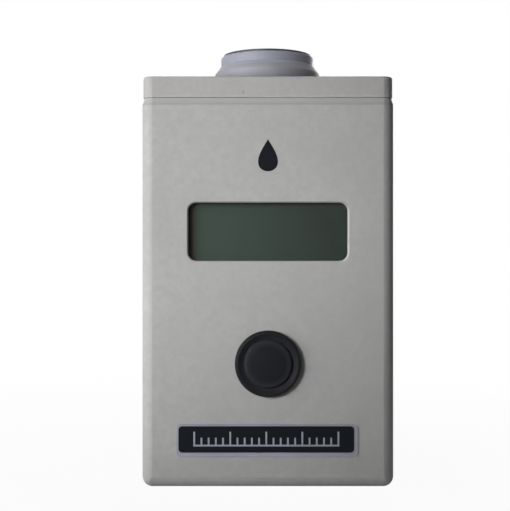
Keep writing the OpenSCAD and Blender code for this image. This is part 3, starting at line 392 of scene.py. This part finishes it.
def chip_black(name, rows):
    """Black epoxy with tinned legs. Rows are the middle height and half height of each body."""
    f = Finish(name)
    legs = None
    for middle, half in rows:
        beyond = (abs(f.z - middle) > half - 0.02 * mm) * (f.y < BOARD_BACK + 0.85 * mm)
        near = abs(f.z - middle) < half + 1.6 * mm
        legs = beyond * near if legs is None else legs.most(beyond * near)
    fine = f.grain(0.12 * mm, 3.0, 0.7)
    cloud = f.grain(4 * mm, 2.0, seed=3)
    base = f.blend(f.blend(paint(34, 34, 36), paint(44, 44, 46), cloud), paint(190, 190, 184), legs)
    return f.surface(base, 0.55 - legs * 0.25 + cloud * 0.08, metal=legs * 0.9, gloss=0.3,
                     normal=f.relief(fine, 0.02 * mm, 0.6))


def capacitor_sleeve(name):
    """A shrunk dark blue sleeve with a pale stripe, and the can's bare top."""
    f = Finish(name)
    cloud = f.grain(2.5 * mm, 3.0)
    stripe = (f.x / (7.1 * mm)).part().between(0.70, 0.74) * (f.y < BOARD_BACK + 6.5 * mm)
    top = f.y > BOARD_BACK + 6.95 * mm
    base = f.blend(paint(26, 34, 66), paint(36, 46, 84), cloud)
    base = f.blend(base, paint(150, 156, 170), stripe)
    base = f.blend(base, paint(196, 197, 196), top)
    return f.surface(base, 0.32 + cloud * 0.14, metal=top * 0.9, gloss=0.4,
                     normal=f.relief(cloud, 0.03 * mm, 0.5))


def hard_plastic(name, colour, seed):
    """A small moulded part in one colour, with a little flow and handling in it."""
    f = Finish(name)
    red, green, blue = colour
    cloud = f.grain(2.2 * mm, 3.0, seed=seed)
    fine = f.grain(0.2 * mm, 2.0, seed=seed + 2)
    base = f.blend(paint(red, green, blue), paint(red * 0.86, green * 0.86, blue * 0.86), cloud)
    return f.surface(base, 0.36 + cloud * 0.2, gloss=0.35, normal=f.relief(fine, 0.02 * mm, 0.5))


def phenolic_board(name):
    """Brown layered phenolic, with its paper layers along the cut edge."""
    f = Finish(name)
    layers = f.grain(0.35 * mm, 3.0, stretch=(0.3, 4, 0.3))
    fleck = f.grain(0.6 * mm, 4.0, 0.7, seed=5)
    base = f.blend(paint(96, 56, 34), paint(126, 78, 48), layers.between(0.35, 0.65))
    base = f.blend(base, paint(66, 38, 24), fleck.between(0.55, 0.75) * 0.5)
    return f.surface(base, 0.42 + fleck * 0.15, gloss=0.3, normal=f.relief(fleck, 0.02 * mm, 0.5))


def bright_metal(name, light, dark, rough, turned=False, thread=None):
    """Plated metal. Turned adds a lathe's rings; thread is (from, to, pitch) along Y."""
    f = Finish(name)
    cloud = f.grain(3 * mm, 4.0, 0.6)
    pits = f.grain(0.35 * mm, 3.0, 0.7, seed=4)
    base = f.blend(light, dark, cloud.between(0.35, 0.7))
    base = f.blend(base, tuple(0.45 * c for c in dark[:3]) + (1.0,), pits.between(0.62, 0.78) * 0.5)
    height = pits * 0.3
    if turned:
        height = height + (f.radius() * (2 * math.pi / (0.18 * mm))).wave() * 0.3
    if thread:
        start, end, pitch = thread
        cut = (f.y > start) * (f.y < end)
        height = height + cut * (f.y * (2 * math.pi / pitch)).wave() * 8
    return f.surface(base, rough + pits * 0.18, metal=1.0, normal=f.relief(height, 0.03 * mm, 0.6))


def battery_jacket(name):
    """A plain printed steel jacket: dark slate with a silver band, and a lengthwise seam."""
    f = Finish(name)
    cloud = f.grain(10 * mm, 3.0)
    scratch = f.grain(1.2 * mm, 4.0, 0.75, stretch=(1, 1, 0.12), seed=6).between(0.64, 0.74)
    band = (f.z > 40 * mm) * (f.z < 53.0 * mm)
    lines = (abs(f.z - 38.6 * mm) < 0.35 * mm).most(abs(f.z - 37.2 * mm) < 0.2 * mm)
    seam = abs(f.x + 9 * mm) < 0.09 * mm
    base = f.blend(paint(44, 54, 62), paint(54, 64, 72), cloud)
    base = f.blend(base, paint(168, 170, 170), band.most(lines))
    base = f.blend(base, paint(150, 152, 152), scratch * 0.35)
    base = f.blend(base, paint(24, 28, 32), seam)
    return f.surface(base, 0.34 + cloud * 0.12 + scratch * 0.1, metal=band * 0.6, gloss=0.4,
                     normal=f.relief(cloud - seam, 0.06 * mm, 0.5))


def open_foam(name):
    """Dark open-cell foam."""
    f = Finish(name)
    small = f.cells(0.55 * mm)
    big = f.cells(1.3 * mm, seed=2)
    base = f.blend(paint(34, 34, 36), paint(78, 78, 80), small.between(0.1, 0.7))
    return f.surface(base, 0.95, gloss=0.1, normal=f.relief(small * 0.6 + big * 0.4, 0.3 * mm, 0.9))


def wire_skin(name, colour, seed):
    """Extruded insulation, glossy along its length and a little marked."""
    f = Finish(name)
    red, green, blue = colour
    smudge = f.grain(2.6 * mm, 3.0, 0.6, seed=seed)
    base = f.blend(paint(red, green, blue), paint(red * 0.8, green * 0.8, blue * 0.8),
                   smudge.between(0.4, 0.75))
    return f.surface(base, 0.32 + smudge * 0.2, gloss=0.45, normal=f.relief(smudge, 0.03 * mm, 0.4))


GREY = (179, 179, 178)
case_front = moulded_grey("case front grey", GREY, 0.0, crease=RIM_Z, lip=25.6 * mm)
case_rear = moulded_grey("case rear grey", GREY, 0.31, crease=RIM_Z)
cover_grey = moulded_grey("cover grey", (178, 177, 176), 0.57,
                          dents=((-7.5 * mm, 126.5 * mm, 9.0), (7.0 * mm, 127.1 * mm, 7.0)),
                          painted_highlight_foot=125.2 * mm)
door_grey = moulded_grey("door grey", (179, 178, 177), 0.31)
sensor_pale = turned_plastic("sensor pale plastic", (150, 153, 165), 0.0)
collar_pale = turned_plastic("collar pale plastic", (150, 151, 158), 0.4)
moulded_black = black_moulding("black moulding")
barrel_black = black_moulding("black bezel", thread=1.0 * mm)
cap_rubber = soft_rubber("push cap rubber", 27, cap=7.0 * mm)
gasket_rubber = soft_rubber("gasket rubber", 26, 0.2)
clip_vinyl = soft_rubber("connector vinyl", 28, 0.1)
strip_rubber = soft_rubber("contact strip rubber", 52, 0.1)
foil = brushed_foil("plate foil")
ink = printed_black("plate black")
pane = smoked_pane("display pane")
glass = display_glass("display glass")
board_green = circuit_board("main board green")
sensor_green = circuit_board("sensor board green", y_faces=False)
controller_epoxy = chip_black("controller epoxy", ((WINDOW_Z + 4 * mm, 4.5 * mm),))
amplifier_epoxy = chip_black("amplifier epoxy", ((WINDOW_Z - 6 * mm, 2.5 * mm),
                                                 (WINDOW_Z + 14 * mm, 2.5 * mm)))
sleeve = capacitor_sleeve("capacitor sleeve")
trimmer_blue = hard_plastic("trimmer blue", (36, 72, 150), 1.0)
socket_cream = hard_plastic("socket cream", (222, 216, 198), 3.0)
phenolic = phenolic_board("switch base phenolic")
screw_steel = bright_metal("screw steel", paint(196, 196, 192), paint(160, 160, 156), 0.28,
                           thread=(-6 * mm, 15.9 * mm, 0.8 * mm))
board_steel = bright_metal("board screw steel", paint(196, 196, 192), paint(164, 164, 160), 0.28,
                           thread=(-14 * mm, -7.6 * mm, 0.6 * mm))
plain_steel = bright_metal("plain steel", paint(190, 190, 188), paint(152, 152, 150), 0.32)
spring_steel = bright_metal("spring steel", paint(176, 176, 174), paint(128, 128, 128), 0.25)
can_steel = bright_metal("crystal can", paint(206, 206, 202), paint(178, 178, 174), 0.24)
face_steel = bright_metal("electrode steel", paint(204, 204, 202), paint(176, 176, 174), 0.22,
                          turned=True)
dark_ring = turned_plastic("conductive plastic", (58, 58, 61), 0.9)
nickel = bright_metal("nickel plate", paint(210, 206, 196), paint(176, 172, 162), 0.24)
solder = bright_metal("solder", paint(178, 180, 182), paint(138, 140, 144), 0.34)
brass = bright_metal("brass", paint(206, 170, 92), paint(166, 128, 62), 0.28)
jacket = battery_jacket("battery jacket")
foam = open_foam("battery foam")
pale_skin = wire_skin("pale wire", (214, 208, 194), 0.0)
red_skin = wire_skin("red wire", (176, 30, 24), 1.0)
black_skin = wire_skin("black wire", (24, 24, 26), 2.0)
grey_skin = wire_skin("sensor cable", (42, 42, 45), 3.0)

node_finishes = {
    "front_shell": case_front, "rear_shell": case_rear, "top_cover": cover_grey,
    "battery_door": door_grey, "case_screws": screw_steel, "name_plate": foil,
    "name_plate_panel": ink, "display_pane": pane, "lcd_cell": glass,
    "lcd_frame": moulded_black, "contact_strips": strip_rubber, "main_board": board_green,
    "board_screws": board_steel, "controller_chip": controller_epoxy,
    "amplifier_chips": amplifier_epoxy, "quartz_crystal": can_steel, "capacitors": sleeve,
    "trimmer_bodies": trimmer_blue, "trimmer_screws": brass, "board_sockets": socket_cream,
    "button_bezel": barrel_black, "button_gasket": gasket_rubber, "button_washer": plain_steel,
    "button_nut": nickel, "push_cap": cap_rubber, "return_spring": spring_steel,
    "contact_bridge": brass, "switch_base": phenolic, "switch_lugs": brass,
    "switch_leads": pale_skin, "sensor_head": sensor_pale, "sensor_collar": collar_pale,
    "sensor_gasket": gasket_rubber, "sensor_ring_nut": moulded_black,
    "centre_electrode": face_steel, "ring_electrode": dark_ring, "sensor_board": sensor_green,
    "sensor_lead": grey_skin, "battery": jacket, "battery_studs": nickel, "battery_pad": foam,
    "battery_clip": clip_vinyl, "clip_contacts": nickel, "battery_lead_red": red_skin,
    "battery_lead_black": black_skin,
}
for name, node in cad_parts.items():
    if not node.material_slots:
        node.data.materials.append(node_finishes[name])
    for material_slot in node.material_slots:
        material_slot.material = node_finishes[name]


# Pieces

def piece(name, shape, finish, body):
    """A finished piece from a bmesh, which rides on a body."""
    mesh = bpy.data.meshes.new(name)
    shape.normal_update()
    shape.to_mesh(mesh)
    shape.free()
    mesh.materials.append(finish)
    made = bpy.data.objects.new(name, mesh)
    bpy.context.scene.collection.objects.link(made)
    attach(made, body)
    return made


def bar(shape, x, z, width, tall, y, height):
    """A thin bar of print with its middle at x and z, which stands on the plane at y."""
    made = bmesh.ops.create_cube(shape, size=1.0)["verts"]
    bmesh.ops.scale(shape, vec=(width, height, tall), verts=made)
    bmesh.ops.translate(shape, vec=(x, y - height / 2, z), verts=made)


def drop_print():
    """A plain water drop, printed on the front face above the display."""
    belly, half_height, ink_height = 4.4 * mm, 5.2 * mm, 0.05 * mm
    shape = bmesh.new()
    made = bmesh.ops.create_circle(shape, cap_ends=True, segments=72, radius=1.0)["verts"]
    for vert in made:
        turn = math.atan2(vert.co.x, vert.co.y)
        lean = abs(math.sin(turn / 2)) ** 1.35
        vert.co = Vector((belly * math.sin(turn) * lean, FRONT, DROP_Z + half_height * math.cos(turn)))
    grown = bmesh.ops.extrude_face_region(shape, geom=shape.faces[:])["geom"]
    points = [part for part in grown if isinstance(part, bmesh.types.BMVert)]
    bmesh.ops.translate(shape, vec=(0, -ink_height, 0), verts=points)
    bmesh.ops.recalc_face_normals(shape, faces=shape.faces)
    return piece("drop_print", shape, ink, "case")


def plate_scale():
    """A plain printed scale on the black panel: a base line and graded ticks."""
    line, pitch, ink_height = 0.55 * mm, 2.3 * mm, 0.03 * mm
    long_tick, short_tick, base_length = 4.2 * mm, 2.3 * mm, 46.6 * mm
    base_z = PLATE_Z - 1.55 * mm
    shape = bmesh.new()
    bar(shape, PANEL_X, base_z, base_length, line, PANEL_FRONT, ink_height)
    for i in range(-10, 11):
        tall = long_tick if i % 5 == 0 else short_tick
        bar(shape, i * pitch + PANEL_X, base_z + 0.2 * mm + tall / 2, line, tall, PANEL_FRONT, ink_height)
    return piece("plate_scale", shape, foil, "case")


def solder_blob(shape, place, size, squash):
    """One solder joint, flattened along Y."""
    made = bmesh.ops.create_icosphere(shape, subdivisions=2, radius=size)["verts"]
    bmesh.ops.scale(shape, vec=(1, squash, 1), verts=made)
    bmesh.ops.translate(shape, vec=place, verts=made)


def solder_joints():
    """Joints at the chips' legs, the crystal, the sockets and the switch lugs."""
    # In mm from the display's middle: each chip as x, z, width, height and legs on a side
    chips = ((-12, 4, 17, 9, 12), (-26, -6, 7, 5, 4), (-26, 14, 7, 5, 4))
    single_joints = ((-15.2, -8), (-8.8, -8), (-17, 22), (-7, 22), (22, 6.2), (22, -12.2), (19, 18.2))
    shape = bmesh.new()
    for x, z, width, tall, legs in chips:
        pitch = width / (legs + 1)
        for side in (-1, 1):
            for leg in range(1, legs + 1):
                solder_blob(shape, ((x + leg * pitch - width / 2) * mm, BOARD_BACK,
                                    WINDOW_Z + (z + side * (tall / 2 + 0.9)) * mm), 0.36 * mm, 0.8)
    for x, z in single_joints:
        solder_blob(shape, (x * mm, BOARD_BACK, WINDOW_Z + z * mm), 0.55 * mm, 0.5)
    for side in (-1, 1):
        solder_blob(shape, (side * 3 * mm, -5.6 * mm, BUTTON_Z + 1.1 * mm), 0.85 * mm, 0.9)
    for face in shape.faces:
        face.smooth = True
    return piece("solder_joints", shape, solder, "case")


def coil_spring():
    """The return spring: a smooth-shaded copy of the CAD coil, which stands in for it. The real
    spring shortens towards its seat as the cap goes in by 1.5 mm.
    """
    shape = bmesh.new()
    shape.from_mesh(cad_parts["return_spring"].data)
    bmesh.ops.remove_doubles(shape, verts=shape.verts, dist=0.001 * mm)
    bmesh.ops.recalc_face_normals(shape, faces=shape.faces)
    for face in shape.faces:
        face.smooth = True
    made = piece("coil_spring", shape, spring_steel, "case")
    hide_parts("return_spring")
    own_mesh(made)
    return made


drop_print()
plate_scale()
solder_joints()
coil_spring()


# Floor, light and camera

def pale_floor():
    """A pale floor that keeps the shadow and turns into the white background with distance."""
    shape = bmesh.new()
    bmesh.ops.create_circle(shape, cap_ends=True, segments=96, radius=3.0)
    bmesh.ops.recalc_face_normals(shape, faces=shape.faces)
    mesh = bpy.data.meshes.new("floor")
    shape.to_mesh(mesh)
    shape.free()
    f = Finish("pale floor")
    lit = f.node("BsdfDiffuse", {"Color": (0.64, 0.64, 0.64, 1.0)})
    white = f.node("Emission", {"Color": (1, 1, 1, 1), "Strength": 1.0})
    far = f.radius().between(0.06, 0.35)
    seen = f.node("LightPath", out="Is Camera Ray").most(
        f.node("LightPath", out="Is Glossy Ray")).most(f.node("LightPath", out="Is Transmission Ray"))
    mesh.materials.append(f.cover(f.node("MixShader", {0: seen * (0.95 + far * 0.05), 1: lit, 2: white})))
    floor = bpy.data.objects.new("floor", mesh)
    bpy.context.scene.collection.objects.link(floor)


def soft_light(name, place, aim, size, power, spread=180):
    """A round lamp at a place and aimed at another, with its size in metres and power in watts."""
    data = bpy.data.lights.new(name, "AREA")
    data.shape, data.size, data.energy = "DISK", size, power
    data.spread = math.radians(spread)
    lamp = bpy.data.objects.new(name, data)
    lamp.location = place
    lamp.rotation_euler = (Vector(aim) - Vector(place)).to_track_quat("-Z", "Y").to_euler()
    bpy.context.scene.collection.objects.link(lamp)


def white_surroundings(strength):
    """White to the eye, to metal and to glass; a low even grey light on everything else."""
    world = bpy.data.worlds.new("surroundings")
    bpy.context.scene.world = world
    world.use_nodes = True
    tree = world.node_tree
    tree.nodes.clear()
    path = tree.nodes.new("ShaderNodeLightPath")
    first, second = tree.nodes.new("ShaderNodeMath"), tree.nodes.new("ShaderNodeMath")
    first.operation = second.operation = "MAXIMUM"
    tree.links.new(path.outputs["Is Camera Ray"], first.inputs[0])
    tree.links.new(path.outputs["Is Glossy Ray"], first.inputs[1])
    tree.links.new(first.outputs[0], second.inputs[0])
    tree.links.new(path.outputs["Is Transmission Ray"], second.inputs[1])
    level = tree.nodes.new("ShaderNodeMapRange")
    level.inputs["To Min"].default_value = strength
    tree.links.new(second.outputs[0], level.inputs["Value"])
    sky = tree.nodes.new("ShaderNodeBackground")
    sky.inputs["Color"].default_value = (1, 1, 1, 1)
    tree.links.new(level.outputs[0], sky.inputs["Strength"])
    out = tree.nodes.new("ShaderNodeOutputWorld")
    tree.links.new(sky.outputs[0], out.inputs["Surface"])


def camera():
    """The photograph's view: level, 345 mm before the front face and a little left of its middle."""
    data = bpy.data.cameras.new("camera")
    data.sensor_fit = "VERTICAL"
    data.sensor_height = 36.0
    data.lens = 76.08
    made = bpy.data.objects.new("camera", data)
    made.location = (-4.15 * mm, FRONT - 345.0 * mm, 74.3 * mm)
    made.rotation_euler = (math.radians(90), 0, 0)
    bpy.context.scene.collection.objects.link(made)
    bpy.context.scene.camera = made


pale_floor()
soft_light("key", (-0.200, -0.245, 0.162), (-0.052, -0.02, 0.104), 0.21, 0.092, spread=30)
soft_light("left", (-0.46, -0.17, 0.11), (0.0, 0.0, 0.07), 0.25, 0.93)
soft_light("top", (-0.10, -0.10, 0.50), (0.0, 0.0, 0.10), 0.25, 0.12)
soft_light("back", (0.16, 0.48, 0.19), (0.0, 0.0, 0.07), 0.30, 1.5)
white_surroundings(0.03)
camera()
bpy.context.scene.view_settings.view_transform = "Standard"
